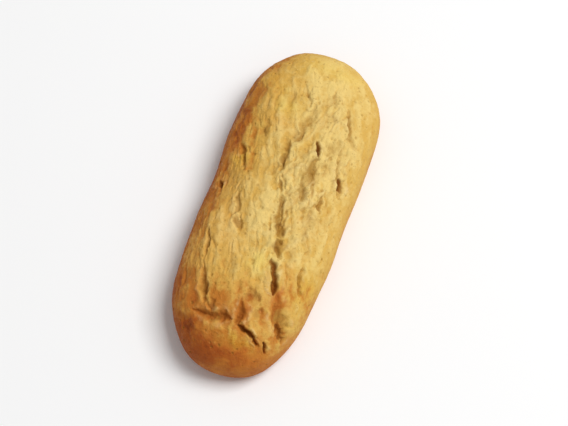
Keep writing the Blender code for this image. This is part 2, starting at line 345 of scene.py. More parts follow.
SPOTS = (
    # Golden far tip, with an orange patch on its left shoulder
    Spot((-4, 42), (7, 4.5), -0.06, 0, 0.4),
    Spot((8, 43), (6, 3), -0.06, 0.1, 0.4),
    Spot((-13.2, 33.6), (2.4, 3.2), -0.08, 0.3, 0.5),
    Spot((-8.4, 30.5), (1.6, 4), -0.12, 0, 0.4),
    Spot((-5.5, 25.5), (3.2, 1.8), -0.02, -0.5, 0.4),
    Spot((-4, 20), (3.6, 2.6), -0.05, 0.25),
    # Pale crumbly crown
    Spot((11, 14), (4.5, 10), -0.18),
    Spot((6, 34), (5, 4), -0.05),
    Spot((-9.5, 12), (4.5, 13), 0.12, 0.1, 0.2),
    # Browner down the right flank: painted shade, damping the key light there
    Spot((17.5, 8), (4, 30), 0.07),
    Spot((15.5, -28), (4.5, 8), 0.07),
    Spot((18.4, -31.5), (2.2, 3.6), -0.16, -0.4),
    Spot((10, -3), (2.5, 4), -0.07, 0.1),
    Spot((-8, -34.2), (1.8, 2.2), -0.18, 0.1),
    Spot((-3.4, -31), (3.4, 5), 0.12, 0, 0.2),
    Spot((3.6, -21.4), (2.6, 3.6), -0.08, 0, 0.6),
    # Left flank
    Spot((-16, 22.6), (1.7, 5.4), 0.28, 0, 0.5),
    Spot((-11.6, 16.5), (2.2, 3.4), -0.04, -0.5),
    Spot((-12.6, 20), (1.8, 3), -0.14),
    Spot((-13.8, 15.6), (1.6, 3.6), 0.12, 0.2),
    Spot((-10.5, 8.6), (1.5, 3), 0.1, 0, 0.2),
    Spot((-16.2, 15), (2.6, 5.5), 0.15, 0.6),
    Spot((-19, 3), (2.6, 7), 0, 0.4),
    Spot((-15, 0), (2.3, 6), -0.18, 0.4),
    Spot((-15, -22.6), (2, 6), -0.09, 0.35),
    Spot((-13.2, 7.2), (1.8, 2.8), -0.04, 0, 0.8),
    Spot((-15.8, -10.4), (1.8, 5.4), 0.14),
    Spot((-11.4, -24), (1.8, 4), 0.14, 0.1),
    Spot((-10.8, -8), (2.4, 6), -0.22, 0.2),
    Spot((-7.4, -15), (2.6, 5), -0.14, 0.2),
    Spot((-19.2, -18), (1.8, 6), -0.1, 0.6),
    Spot((-18, -22), (1.2, 3), -0.24, 0.8),
    # Redder low on the near left: painted shade
    Spot((-18.4, -30), (2.6, 5.5), 0, 0.5),
    Spot((-13, -36), (4.2, 1.8), 0.12, 0.3),
    # Near end
    Spot((-8.6, -42.4), (1.5, 1.3), 0.24, 1),
    Spot((1, -48.4), (9, 2.2), 0.1, 0.3),
    Spot((6, -46.4), (5, 1.6), 0.16, 1),
    Spot((-4, -46.4), (5, 2.2), 0.16, 0.4),
    # Yellow patch on the near end: a painted highlight
    Spot((6, -43.2), (4, 1.2), 0.02, -0.7, 1),
    Spot((0, -41.4), (3.6, 1.3), -0.18, 0.5),
    Spot((0, -34.6), (6.5, 3.6), 0.2, 0.1),
    Spot((5, -33.6), (1.3, 3), 0.17, 0.2),
    # Paler low on the near left: painted light in the shade there
    Spot((-14.8, -37), (2.6, 3), -0.18, -0.3),
    Spot((2.6, -28.2), (2.4, 3.6), 0.1, 0.3),
    Spot((2.6, -37.8), (1.6, 1.4), 0.14, 0.2),
    Spot((-5.4, -41.4), (2, 1.4), 0.14, 0.2),
    Spot((-2, -19.4), (3.4, 5), 0.12, 0.1),
    Spot((6.2, 7), (2.2, 5), -0.14),
    Spot((8, 27), (2.6, 3.4), -0.08),
    Spot((-1.5, 20.5), (2.4, 2.4), -0.13),
    Spot((2.8, -8.5), (1.6, 3), -0.12),
    # Near right
    Spot((12.3, -27.2), (1.5, 2.4), 0.18, 0.4),
    Spot((10, -29.6), (1.4, 2), 0.15, 0.1),
    Spot((7.6, -25), (1.2, 3), 0.18, 0.2),
    Spot((15.5, -29.8), (1.6, 2.6), 0.14),
    Spot((16.9, -20.2), (1.8, 3.4), 0.1, 0, 0.2),
    Spot((12.4, -21.6), (1.2, 3.2), 0.08, 0.5),
    Spot((12.7, -30.2), (1.7, 3.6), 0.2, 0.4),
    Spot((17.6, -23), (2.6, 3.4), 0.18, 0.2, 0.5),
    Spot((14.4, -38.6), (1.6, 2), 0.04, 0.3),
    Spot((14.6, -33), (1.2, 1.8), -0.14),
    Spot((16.4, -39.6), (1.8, 2.4), -0.12, -0.5),
)


def linear(red, green, blue):
    """A colour given as screen values from 0 to 255, in scene-linear values."""
    share = np.array([red, green, blue]) / 255
    curved = np.where(share <= 0.04045, share / 12.92, ((share + 0.055) / 1.055) ** 2.4)
    return tuple(float(value) for value in curved)


def ease(low, high, values):
    """0 below low and 1 above high, blended by 3t^2 - 2t^3 in between."""
    share = np.clip((values - low) / (high - low), 0, 1)
    return share * share * (3 - 2 * share)


def lattice_noise(x, y, cell, seed):
    """Smooth random values from -1 to 1: one for each corner of a square lattice, eased between them."""
    table = np.random.default_rng(seed).uniform(-1, 1, (LATTICE, LATTICE))
    ix, iy = np.floor(x / cell), np.floor(y / cell)
    fx, fy = ease(0, 1, x / cell - ix), ease(0, 1, y / cell - iy)
    ix, iy = ix.astype(int) % LATTICE, iy.astype(int) % LATTICE
    jx, jy = (ix + 1) % LATTICE, (iy + 1) % LATTICE
    near = table[ix, iy] * (1 - fx) + table[jx, iy] * fx
    far = table[ix, jy] * (1 - fx) + table[jx, jy] * fx
    return near * (1 - fy) + far * fy


def slope_noise(points, cell, seed):
    """Smooth random values from about -1 to 1 in space.

    Each corner of a cubic lattice has a random slope. The heights that the eight slopes round a point
    give there are blended by 6t^5 - 15t^4 + 10t^3.
    """
    draws = np.random.default_rng(seed)
    order = np.tile(draws.permutation(SLOPES), 2)
    slopes = draws.normal(size=(SLOPES, 3))
    slopes /= np.linalg.norm(slopes, axis=1, keepdims=True)
    corner = np.floor(points / cell).astype(int)
    part = points / cell - corner
    blend = part**3 * (part * (part * 6 - 15) + 10)
    total = np.zeros(len(points))
    for step in product((0, 1), repeat=3):
        x, y, z = ((corner + step) % SLOPES).T
        height = ((part - step) * slopes[order[order[order[x] + y] + z]]).sum(axis=1)
        total += height * np.where(step, blend, 1 - blend).prod(axis=1)
    return total * SLOPE_GAIN


def layered_noise(points, cell, layers, seed):
    """Slope noise in several layers, each half as coarse and half as strong as the one before."""
    total, strength = np.zeros(len(points)), 1.0
    for layer in range(layers):
        total += strength * slope_noise(points, cell / 2**layer, seed + layer)
        strength /= 2
    return total


def scattered_cells(points, cell, seed):
    """(first, second, number) for points scattered one to each cube of a lattice.

    They are the distances to the nearest two, in cells, and a random number from 0 to 1 of the nearest.
    """
    draws = np.random.default_rng(seed)
    order = np.tile(draws.permutation(SLOPES), 2)
    offsets = draws.uniform(0.1, 0.9, size=(SLOPES, 3))
    numbers = draws.uniform(size=SLOPES)
    home = np.floor(points / cell).astype(int)
    part = points / cell - home
    first, second = np.full(len(points), FARTHEST), np.full(len(points), FARTHEST)
    number = np.zeros(len(points))
    for step in product((-1, 0, 1), repeat=3):
        x, y, z = ((home + step) % SLOPES).T
        pick = order[order[order[x] + y] + z]
        away = np.linalg.norm(step + offsets[pick] - part, axis=1)
        closer = away < first
        second = np.where(closer, first, np.minimum(second, away))
        first, number = np.where(closer, away, first), np.where(closer, numbers[pick], number)
    return first, second, number


def rounded_body(direction, sizes):
    """Points of |x|^a + |y|^b + |z|^c = 1 along each direction, stretched to the cookie's sizes.

    The distance along each direction is found by halving, because the powers differ.
    """
    across, along, up = np.abs(direction).T
    fullness = np.where(direction[:, 2] > 0, FULL_UP, FULL_UNDER)
    low, high = np.zeros(len(direction)), np.full(len(direction), 2.0)
    for _ in range(RADIAL_HALVINGS):
        reach = (low + high) / 2
        inside = (
            (across * reach) ** FULL_ACROSS
            + (along * reach) ** FULL_ALONG
            + (up * reach) ** fullness
        ) < 1
        low, high = np.where(inside, reach, low), np.where(inside, high, reach)
    share = direction * low[:, None]
    station = share[:, 1]
    x = share[:, 0] * sizes.width / 2 * (1 + TAPER * station) + BEND * station**2
    y = station * sizes.length / 2 + SLANT * x
    above = share[:, 2] > 0
    tall = np.where(above, sizes.height - sizes.widest_at, sizes.under_depth)
    z = sizes.widest_at + share[:, 2] * tall
    return np.stack([x, y, z], axis=1)


def waist(x, y):
    """How far the left flank is drawn in towards +X, eased out towards both ends and the crown."""
    return WAIST * ease(*WAIST_FAR, y) * ease(*WAIST_NEAR, y) * ease(*WAIST_ACROSS, x)


def disc_directions(columns, rows, widest_angle, upwards):
    """A grid of directions round straight up or down, out to widest_angle from it.

    The grid's square (p, q) is pressed to a disc by a = p sqrt(1 - q^2 / 2) and b = q sqrt(1 - p^2 / 2),
    and the disc's radius then gives the angle from the pole.
    """
    p, q = np.meshgrid(np.linspace(-1, 1, columns + 1), np.linspace(-1, 1, rows + 1))
    a, b = p * np.sqrt(1 - q * q / 2), q * np.sqrt(1 - p * p / 2)
    radius = np.hypot(a, b)
    angle = radius * widest_angle
    outward = np.sin(angle) / np.maximum(radius, 1e-9)
    up = np.cos(angle) * (1 if upwards else -1)
    return np.stack([a * outward, b * outward, up], axis=-1).reshape(-1, 3)


def grid_faces(columns, rows):
    """The corners of each face of a grid whose points run along X first, anticlockwise from above."""
    first = (np.arange(rows)[:, None] * (columns + 1) + np.arange(columns)).ravel()
    return np.stack([first, first + 1, first + columns + 2, first + columns + 1], axis=1)


def grid_rim(columns, rows):
    """The grid's border points, anticlockwise from above, from the corner at the lowest X and Y."""
    width = columns + 1
    near = np.arange(columns)
    right = columns + np.arange(rows) * width
    far = rows * width + columns - np.arange(columns)
    left = (rows - np.arange(rows)) * width
    return np.concatenate([near, right, far, left])


class Grain(NamedTuple):
    """A random pattern that runs long in one direction of the crust."""

    lean: float  # how far it leans from the cookie's length
    stretch: float  # how many times as long as wide its features are
    cell: float
    seed: int
    layers: int = 1

    def turned(self, points):
        """The points turned so that Y follows the lean, and shortened along it to make noise long."""
        cos, sin = np.cos(self.lean), np.sin(self.lean)
        x, y, z = points.T
        return np.stack([x * cos + y * sin, (y * cos - x * sin) / self.stretch, z], axis=1)

    def noise(self, points):
        return layered_noise(self.turned(points), self.cell, self.layers, self.seed)

    def cells(self, points):
        return scattered_cells(self.turned(points), self.cell, self.seed)


LENGTHWISE = Grain(GRAIN_LEAN, 3.4, 2.7 * MM, 66, layers=2)
SLANTWISE = Grain(SLANT_LEAN, 2.3, 3.0 * MM, 68, layers=3)
CRACKLE_PATCHES = Grain(GRAIN_LEAN, 2.0, 6.5 * MM, 71)
CRACKLE_PLATES = Grain(GRAIN_LEAN, 4.6, 2.8 * MM, 75)
FINE_CREASES = Grain(GRAIN_LEAN, 5.0, 1.5 * MM, 78)
CRUMB = Grain(GRAIN_LEAN, 1.3, 1.4 * MM, 80, layers=3)
LOOSE_CRUMBS = Grain(SLANT_LEAN, 1.9, 2.3 * MM, 85)
STRANDS = Grain(GRAIN_LEAN, 2.4, 1.2 * MM, 93, layers=3)


def crack_profile(x, y, crack):
    """(groove, core, lip, bell) of one crack at points of the plan, each from 0 to 1, before its depth.

    The line bows as a parabola, and its width swells and dies away as the root of a half sine.
    """
    start, end = np.array(crack.start) * MM, np.array(crack.end) * MM
    length = np.hypot(*(end - start))
    ahead = (end - start) / length
    along = ((x - start[0]) * ahead[0] + (y - start[1]) * ahead[1]) / length
    aside = (x - start[0]) * ahead[1] - (y - start[1]) * ahead[0]
    along = np.clip(along, 0, 1)
    swell = np.sqrt(np.sin(pi * along))
    aside = np.abs(aside - crack.bow * MM * 4 * along * (1 - along))
    offset = aside / np.maximum(crack.half_width * MM * swell, LEAST_HALF_WIDTH)
    groove = swell * ease(0, 1, GROOVE_FULLNESS * (1 - offset))
    off_core = np.abs(offset - CORE_WANDER * lattice_noise(x, y, STRAY_LENGTH, CORE_SEED))
    core = swell * ease(0, 1, 1 - off_core / CORE_WIDTH)
    lip = swell * np.exp(-(((offset - LIP_AT) / LIP_SPREAD) ** 2))
    bell = swell * np.exp(-BELL_STEEPNESS * offset**2)
    return groove, core, lip, bell


def strayed(x, y, points):
    """The plan's places, moved a little further about in finer and finer steps."""
    for number, (far, cell) in enumerate(FINE_STRAYS):
        x = x + far * slope_noise(points, cell, FINE_STRAY_X_SEED + number)
        y = y + far * slope_noise(points, cell, FINE_STRAY_Y_SEED + number)
    return x, y


class Splits(NamedTuple):
    """What the cracks, hairlines and troughs do together at each point."""

    depth: np.ndarray  # of the deepest crack there
    floor: np.ndarray  # how far inside a crack it lies, from 0 to 1
    torn: np.ndarray  # how ripped and dark it is, from 0 to 1: the dark is partly crumb, partly painted shade
    lips: np.ndarray  # how far the crust beside a crack is raised
    hollow: np.ndarray  # depth of the deepest trough there, in millimetres


def all_splits(points, x, y):
    """The cracks and troughs at places x, y of the plan: where some overlap, the strongest counts.

    A crack is its groove and its narrower core, blended by how ripped it is. A trough is a bell curve,
    darkened as painted shade.
    """
    depth, floor, torn, lips, hollow = (np.zeros(len(points)) for _ in range(5))
    for crack in CRACKS + HAIRLINES:
        groove, core, lip, _ = crack_profile(x, y, crack)
        core_share = CORE_SHARE * crack.torn
        depth = np.maximum(depth, crack.depth * MM * ((1 - core_share) * groove + core_share * core))
        floor = np.maximum(floor, groove * min(1, crack.depth / FULL_FLOOR_DEPTH))
        # A crack's darkness grows with its depth: partly darker crumb, partly painted shade
        darkness = TORN_IN_CORE * core + TORN_IN_GROOVE * groove**TORN_POWER
        darkness = darkness * crack.torn * min(1, SHALLOW_TORN + crack.depth / TORN_DEPTH)
        torn = np.maximum(torn, darkness)
        lips = np.maximum(lips, crack.depth * LIP_SHARE * lip * MM)
    for crack in TROUGHS:
        _, _, _, bell = crack_profile(x, y, crack)
        hollow = np.maximum(hollow, crack.depth * bell)
        # Troughs darken too: painted shade
        torn = np.maximum(torn, crack.torn * bell)
    closed = 1 - ease(0, LIP_ENDS_AT, depth)
    lips = lips * closed * ease(-0.5, 0.6, slope_noise(points, LIP_PATCH, LIP_SEED))
    return Splits(depth, floor, torn, lips, hollow)


def oval_mask(x, y, centre, reach):
    """1 in the middle of an ellipse, fading evenly to 0 a little beyond its edge."""
    away = np.hypot((x - centre[0]) / reach[0], (y - centre[1]) / reach[1])
    return np.clip(1 + CRAG_CORE - away, 0, 1)


def shaken(points, far, cell, seed):
    """The points, each moved by up to about far, smoothly over a cell."""
    return points + far * np.stack([slope_noise(points, cell, seed + axis) for axis in range(3)], axis=1)


def broad_swells(x, y):
    """The dome's broad unevenness: plane sine waves over the plan, added up."""
    total = np.zeros(len(x))
    for rise, across, along, phase in SWELLS:
        total += rise * np.sin(2 * pi * (x / across + y / along) + phase)
    return total


def long_wrinkles(loose, crown, craggy):
    """Wrinkles along the grain of the crown, half of which give way to slanting ones among the crags."""
    lengthwise = LENGTHWISE_WRINKLES * LENGTHWISE.noise(loose) * (1 - 0.5 * craggy)
    slanting = SLANTING_WRINKLES * SLANTWISE.noise(loose) * craggy
    return crown * (lengthwise + slanting)


def fissures(points, loose, crown, craggy):
    """(fissure, plates): fine fissures from 0 to 1, and how far each plate between them stands out.

    Fissures run in patches, where two plates' middles are equally near. Fine creases run where slope
    noise is near 0.
    """
    gate = ease(-0.25, 0.35, CRACKLE_PATCHES.noise(points))
    first, second, number = CRACKLE_PLATES.cells(loose)
    crackle = (1 - ease(0, FISSURE_WIDTH, second - first)) * gate
    fine = np.clip(1 - np.abs(FINE_CREASES.noise(points)) / CREASE_WIDTH, 0, 1)
    fine = fine * ease(0.3, -0.4, slope_noise(points, CREASE_PATCH, CREASE_PATCH_SEED))
    fine = fine * ease(*CREASES_FADE, points[:, 1])
    fissure = crown * np.clip(crackle * (0.4 + 0.6 * craggy) + 0.5 * fine, 0, 1)
    return fissure, crown * 0.5 * (number - 0.5)


def loosened(points, loose, crown):
    """(crumbs, gaps, lift) of the broken crown: standing crumbs, gaps, and the heights of both."""
    x, y, _ = points.T
    broken = crown * ease(0, 0.6, oval_mask(x, y, CRUMBLY_CENTRE, CRUMBLY_REACH))
    broken = broken * ease(-0.7, 0.1, slope_noise(points, BROKEN_PATCH, BROKEN_SEED))
    first, second, number = LOOSE_CRUMBS.cells(loose)
    gaps = broken * (1 - ease(0, GAP_WIDTH, second - first))
    lift = broken * (number - 0.5) * ease(0, CRUMB_EDGE, second - first) - GAP_DEPTH * gaps
    return broken * ease(0.55, 0.9, number), gaps, lift


def open_pores(points):
    """Small round bubbles in half of the cells, 1 in the middle of each and 0 outside it."""
    near, _, number = scattered_cells(points, PORE_CELL, PORE_SEED)
    radius = PORE_LEAST + PORE_SPREAD * number
    return (1 - ease(radius * 0.4, radius, near)) * (number > 0.5)


class Relief(NamedTuple):
    """How far the crust stands out at each point, and what the material reads there, from 0 to 1."""

    height: np.ndarray
    split: np.ndarray
    torn: np.ndarray
    flour: np.ndarray
    pores: np.ndarray
    ridges: np.ndarray
    hollow: np.ndarray


def crust_relief(points, sizes):
    """Swells, crags, cracks, wrinkles, fissures, crumbs, pores and strands of crumb, added up."""
    x, y, z = points.T
    stray_x = x + STRAY * lattice_noise(x, y, STRAY_LENGTH, STRAY_X_SEED)
    stray_y = y + STRAY * lattice_noise(x, y, STRAY_LENGTH, STRAY_Y_SEED)
    craggy = oval_mask(x, y, CRAG_CENTRE, CRAG_REACH)
    height = broad_swells(x, y)
    height += CRAG_HEIGHT * craggy * lattice_noise(stray_x, stray_y, CRAG_LENGTH, CRAG_SEED)

    splits = all_splits(points, *strayed(stray_x, stray_y, points))
    kept_hollow = splits.hollow * (1 - HOLLOW_LOST * splits.floor)
    height += splits.lips - sizes.crack_depth * splits.depth - sizes.trough_depth * kept_hollow

    loose = shaken(points, LOOSE_FAR, LOOSE_CELL, LOOSE_SEED)
    crown = ease(*CROWN_UP, z / sizes.height) * ease(*CROWN_NEAR, y) * ease(*CROWN_FAR, y)
    wrinkles = long_wrinkles(loose, crown, craggy)
    fissure, plates = fissures(points, loose, crown, craggy)
    height += sizes.wrinkle_height * (wrinkles + plates) - sizes.fissure_depth * fissure
    crumbs, gaps, lift = loosened(points, loose, crown)
    height += sizes.crumble_height * lift

    crumb = (0.3 + 0.7 * np.clip(craggy + 0.5 * crown, 0, 1)) * CRUMB.noise(loose)
    pores = open_pores(points)
    height += sizes.crumb_height * crumb - sizes.pore_depth * pores
    inside = np.clip(1.5 * splits.floor + 0.8 * splits.hollow, 0, 1)
    height += STRAND_HEIGHT * inside * STRANDS.noise(points) * ease(*STRANDS_FADE, y)

    split = np.clip(splits.floor + 0.35 * fissure + 0.45 * gaps, 0, 1)
    floury = craggy * ease(-0.2, 0.8, layered_noise(points, FLOUR_PATCH, 2, FLOUR_SEED))
    # Raised lips and standing crumbs are paler: partly floury, partly painted highlight
    flour = np.clip(splits.lips / FLOUR_AND_HIGHLIGHT_LIP + 0.6 * np.maximum(floury, crumbs), 0, 1)
    # How high the wrinkles and crumbs stand; the material browns the low ones as painted shade
    ridges = np.clip(0.55 + 0.45 * wrinkles + 0.25 * crumb, 0, 1)
    # The painted shade in the troughs, uneven in patches
    uneven = 0.8 + 0.5 * slope_noise(points, TROUGH_SHADE_PATCH, HOLLOW_SEED)
    hollow = np.clip(splits.hollow * uneven, 0, 1)
    return Relief(height, split, splits.torn, flour, pores, ridges, hollow)


def browning_and_shade(points, sizes):
    """How brown the crust is baked, from 0 to 1, with painted shade on the left: more on the left, down
    the flanks and towards the near end.

    The left flank darkens from high up, partly browner and partly painted shade, the right one lower
    down, and both less where the near end does.
    """
    x, y, z = points.T
    low = 1 - z / sizes.height
    left = ease(*LEFT_BROWNS_AND_SHADES, x)
    flank = (0.35 + 0.65 * left) * ease(*LEFT_FLANK, low) + 0.55 * (1 - left) * ease(*RIGHT_FLANK, low)
    near_end = NEAR_BROWNED * ease(*NEAR_BROWNS, y) + NEAR_BROWNED * ease(*TIP_BROWNS, y)
    near_end = near_end * (1 - 0.3 * left)
    return BROWNED + LEFT_BROWNED_AND_SHADED * left + FLANK_BROWNED * flank * (1 - 1.3 * near_end) + near_end


def reddening_and_shade(points, sizes):
    """How red the crust is baked: more towards the near end, low down and on the left, where it is partly
    painted shade.
    """
    x, y, z = points.T
    near_end = NEAR_RUDDY * ease(*NEAR_REDDENS, y)
    low = LOW_RUDDY * ease(*LOW_REDDENS, 1 - z / sizes.height)
    return near_end + low + LEFT_RUDDY_AND_SHADED * ease(*LEFT_REDDENS_AND_SHADES, x)


def spotted(points, sizes):
    """The browning, redness and yellowness that the spots add, in that order: bell curves, fading down
    the flank; a few are painted shade, painted light or a painted highlight.
    """
    loose = shaken(points, *SPOT_DRIFT) + shaken(points, *SPOT_RAGGED) - points
    x, y = loose[:, 0] / MM, loose[:, 1] / MM
    upper = ease(*SPOTS_UP, points[:, 2] / sizes.height)
    sums = np.zeros((3, len(points)))
    for spot in SPOTS:
        away = ((x - spot.centre[0]) / spot.reach[0]) ** 2 + ((y - spot.centre[1]) / spot.reach[1]) ** 2
        strengths = np.array([spot.browned, spot.ruddy, spot.golden])
        sums += strengths[:, None] * upper * np.exp(-SPOT_STEEPNESS * away)
    return sums


def vertex_normals(mesh):
    flat = np.empty(len(mesh.vertices) * 3, np.float32)
    mesh.vertex_normals.foreach_get("vector", flat)
    return flat.reshape(-1, 3).astype(float)


def set_points(mesh, points):
    mesh.vertices.foreach_set("co", points.astype(np.float32).ravel())
    mesh.update()


def add_value(mesh, name, values):
    """Stores one number a point, for the material to read."""
    attribute = mesh.attributes.new(name, "FLOAT", "POINT")
    attribute.data.foreach_set("value", values.astype(np.float32))


def stitch_faces(outer, inner):
    """Triangles between a rim and a ring with a quarter of its points, both anticlockwise."""
    outer = outer.reshape(-1, 4)
    following = np.roll(outer, -1, axis=0)[:, 0]
    inner_next = np.roll(inner, -1)
    a, b, c, d = outer.T
    corners = (
        (a, inner, b),
        (b, inner, c),
        (c, inner, inner_next),
        (c, inner_next, d),
        (d, inner_next, following),
    )
    return np.concatenate([np.stack(corner, axis=1) for corner in corners])


def cookie_mesh(sizes):
    """The rounded body, closed: a fine grid over crown and flanks, and a coarse one under the base."""
    columns, rows = sizes.columns, sizes.rows
    fine = rounded_body(disc_directions(columns, rows, radians(sizes.wrap_angle), True), sizes)
    coarse_columns, coarse_rows = columns // 4, rows // 4
    under_angle = radians(180 - BASE_GAP - sizes.wrap_angle)
    base = rounded_body(disc_directions(coarse_columns, coarse_rows, under_angle, False), sizes)
    rim = grid_rim(columns, rows)
    base_rim = grid_rim(coarse_columns, coarse_rows) + len(fine)
    base_faces = grid_faces(coarse_columns, coarse_rows)[:, ::-1] + len(fine)
    mesh = bpy.data.meshes.new("fine_crust")
    points = np.concatenate([fine, base])
    points[:, 2] = np.maximum(points[:, 2], 0)
    faces = grid_faces(columns, rows).tolist() + base_faces.tolist()
    faces += stitch_faces(rim, base_rim).tolist()
    mesh.from_pydata(points, [], faces)
    mesh.shade_smooth()
    return mesh, points


class Wire:
    """A shader socket on which Python's arithmetic can be written: each sign adds a Math node."""

    def __init__(self, recipe, socket):
        self.recipe = recipe
        self.socket = socket

    def maths(self, operation, *values):
        return self.recipe.add("ShaderNodeMath", {"operation": operation}, dict(enumerate(values)))

    def __add__(self, other):
        return self.maths("ADD", self, other)

    def __radd__(self, other):
        return self.maths("ADD", other, self)

    def __sub__(self, other):
        return self.maths("SUBTRACT", self, other)

    def __rsub__(self, other):
        return self.maths("SUBTRACT", other, self)

    def __mul__(self, other):
        return self.maths("MULTIPLY", self, other)

    def __rmul__(self, other):
        return self.maths("MULTIPLY", other, self)

    def __pow__(self, other):
        return self.maths("POWER", self, other)

    def between(self, low, high):
        """0 below low and 1 above high, blended smoothly in between."""
        settings = {"interpolation_type": "SMOOTHSTEP"}
        values = {"Value": self, "From Min": low, "From Max": high}
        return self.recipe.add("ShaderNodeMapRange", settings, values)


class Recipe:
    """A material's node tree, to which nodes are added one after another."""

    def __init__(self, name):
        self.material = bpy.data.materials.new(name)
        self.material.use_nodes = True
        self.tree = self.material.node_tree
        self.shader = self.tree.nodes["Principled BSDF"]

    def put(self, socket, value):
        """Links a wire to a socket, or sets the socket's own value."""
        if isinstance(value, Wire):
            self.tree.links.new(value.socket, socket)
        elif isinstance(value, tuple) and socket.type == "RGBA":
            socket.default_value = (*value[:3], 1.0)
        else:
            socket.default_value = value

    def add(self, kind, settings=None, inputs=None, output=0):
        """Adds a node, sets its settings, then its sockets, and returns a wire from its output."""
        node = self.tree.nodes.new(kind)
        for name, value in (settings or {}).items():
            if name == "stops":
                self.set_stops(node.color_ramp, value)
            else:
                setattr(node, name, value)
        for name, value in (inputs or {}).items():
            self.put(node.inputs[name], value)
        return Wire(self, node.outputs[output])

    def set_stops(self, ramp, stops):
        ramp.interpolation = "EASE"
        while len(ramp.elements) < len(stops):
            ramp.elements.new(0.5)
        for element, (position, colour) in zip(ramp.elements, stops):
            element.position = position
            element.color = (*colour, 1.0)

    def mix(self, factor, first, second, blend="MIX"):
        """A blend of two colours."""
        settings = {"data_type": "RGBA", "blend_type": blend, "clamp_factor": True}
        return self.add("ShaderNodeMix", settings, {0: factor, 6: first, 7: second}, 2)

    def noise(self, place, cell, layers, roughness=0.5):
        """Blender's noise with features of about one cell, in metres."""
        values = {"Vector": place, "Scale": 1 / cell, "Detail": layers, "Roughness": roughness}
        return self.add("ShaderNodeTexNoise", {}, values)

    def value(self, name):
        """The number that the mesh stores under a name."""
        return self.add("ShaderNodeAttribute", {"attribute_name": name}, {}, "Fac")

    def finish(self, sockets):
        """Sets or links the shader's own sockets."""
        for name, value in sockets.items():
            self.put(self.shader.inputs[name], value)
        return self.material


def crust_material(colours):
    """Baked crust: pale to brown as baked, cracks with dark cores, floury lips, specks and a sandy grain,
    with painted shade and highlights.
    """
    recipe = Recipe("baked_crust")
    place = recipe.add("ShaderNodeTexCoord", {}, {}, "Object")
    browned, split = recipe.value("browned"), recipe.value("split")
    torn, flour, pores = recipe.value("torn"), recipe.value("flour"), recipe.value("pores")
    blotches = recipe.noise(place, BLOTCH, 3)
    mottle = recipe.noise(place, MOTTLE, 4, 0.6)
    sand = recipe.noise(place, SAND, 2, 0.6)

    tones = (blotches - 0.5) * BLOTCH_TONE + (mottle - 0.5) * MOTTLE_TONE + (sand - 0.5) * SAND_TONE
    # Valleys between wrinkles and crumbs are pushed browner: painted shade
    bake_and_shade = browned + (0.5 - recipe.value("ridges")) * VALLEY_SHADE + tones
    stops = [
        (PALE_AT, tuple(colours.pale)),
        (GOLD_AT, tuple(colours.gold)),
        (AMBER_AT, tuple(colours.amber)),
        (BROWN_AT, tuple(colours.brown)),
        (DARK_AT, tuple(colours.dark)),
    ]
    colour = recipe.add("ShaderNodeValToRGB", {"stops": stops}, {0: bake_and_shade}, "Color")
    # Paler on raised lips and crumbs: partly floury, partly painted highlight
    colour = recipe.mix(flour * 0.6 * mottle.between(0.3, 0.65), colour, tuple(colours.flour))
    crumb = recipe.mix(browned.between(0.25, 0.55), tuple(colours.crumb), tuple(colours.baked_crumb))
    # The troughs take the darker crumb colour: painted shade
    colour = recipe.mix(recipe.value("hollow") * (0.3 + 0.7 * mottle), colour, crumb)
    colour = recipe.mix(split.between(0.1, 1.0) * (0.5 + 0.4 * mottle), colour, crumb)
    # Dark cores of deep cracks: partly darker crumb, partly painted shade
    colour = recipe.mix(torn.between(0.02, 0.7) * 0.92, colour, tuple(colours.torn))
    # Redder on the left: partly baked redder, partly painted shade
    ruddy = recipe.value("ruddy") + (0.5 - blotches) * 0.35
    colour = recipe.mix(ruddy, colour, tuple(colours.ruddy), "MULTIPLY")
    # Yellower: a yellower crust, and a painted highlight on the near end
    colour = recipe.mix(recipe.value("golden"), colour, tuple(colours.golden), "MULTIPLY")
    colour = recipe.mix(pores * 0.5, colour, tuple(colours.crumb))
    specks = recipe.noise(place, SPECK, 2)
    colour = recipe.mix(specks.between(*DARK_SPECKS) * DARK_SPECK, colour, crumb)
    pale_specks = specks.between(*PALE_SPECKS) * (PALE_SPECK - PALE_SPECK * browned)
    colour = recipe.mix(pale_specks, colour, tuple(colours.flour))

    grain = mottle * 0.5 + sand * 0.45 + recipe.noise(place, DUST, 1) * 0.35
    relief = {"Height": grain, "Distance": BUMP_HEIGHT, "Strength": BUMP_STRENGTH}
    bump = recipe.add("ShaderNodeBump", {}, relief, "Normal")
    sockets = {
        "Base Color": colour,
        "Roughness": 0.66 + split * 0.2 + (mottle - 0.5) * 0.15,
        "Normal": bump,
        "Specular IOR Level": CRUST_SHINE,
    }
    return recipe.finish(sockets)


def floor_material(colour):
    """Smooth matt card, with the faintest unevenness of tone."""
    recipe = Recipe("pale_card")
    place = recipe.add("ShaderNodeTexCoord", {}, {}, "Object")
    tone = recipe.noise(place, FLOOR_PATCH, 2)
    shade = recipe.mix(tone, colour, tuple(0.985 * value for value in colour))
    return recipe.finish({"Base Color": shade, "Roughness": 0.9, "Specular IOR Level": FLOOR_SHINE})


def number_property(name, description, default, **more):
    return FloatProperty(name=name, description=description, default=default, **more)


def length_property(name, description, default):
    return number_property(name, description, default, unit="LENGTH", precision=5)


def angle_property(name, description, degrees):
    return number_property(name, description, radians(degrees), subtype="ANGLE")


def count_property(name, description, default):
    return IntProperty(name=name, description=description, default=default)


def colour_property(name, description, default):
    return FloatVectorProperty(
        name=name, description=description, default=default, subtype="COLOR", size=3, min=0, max=1
    )


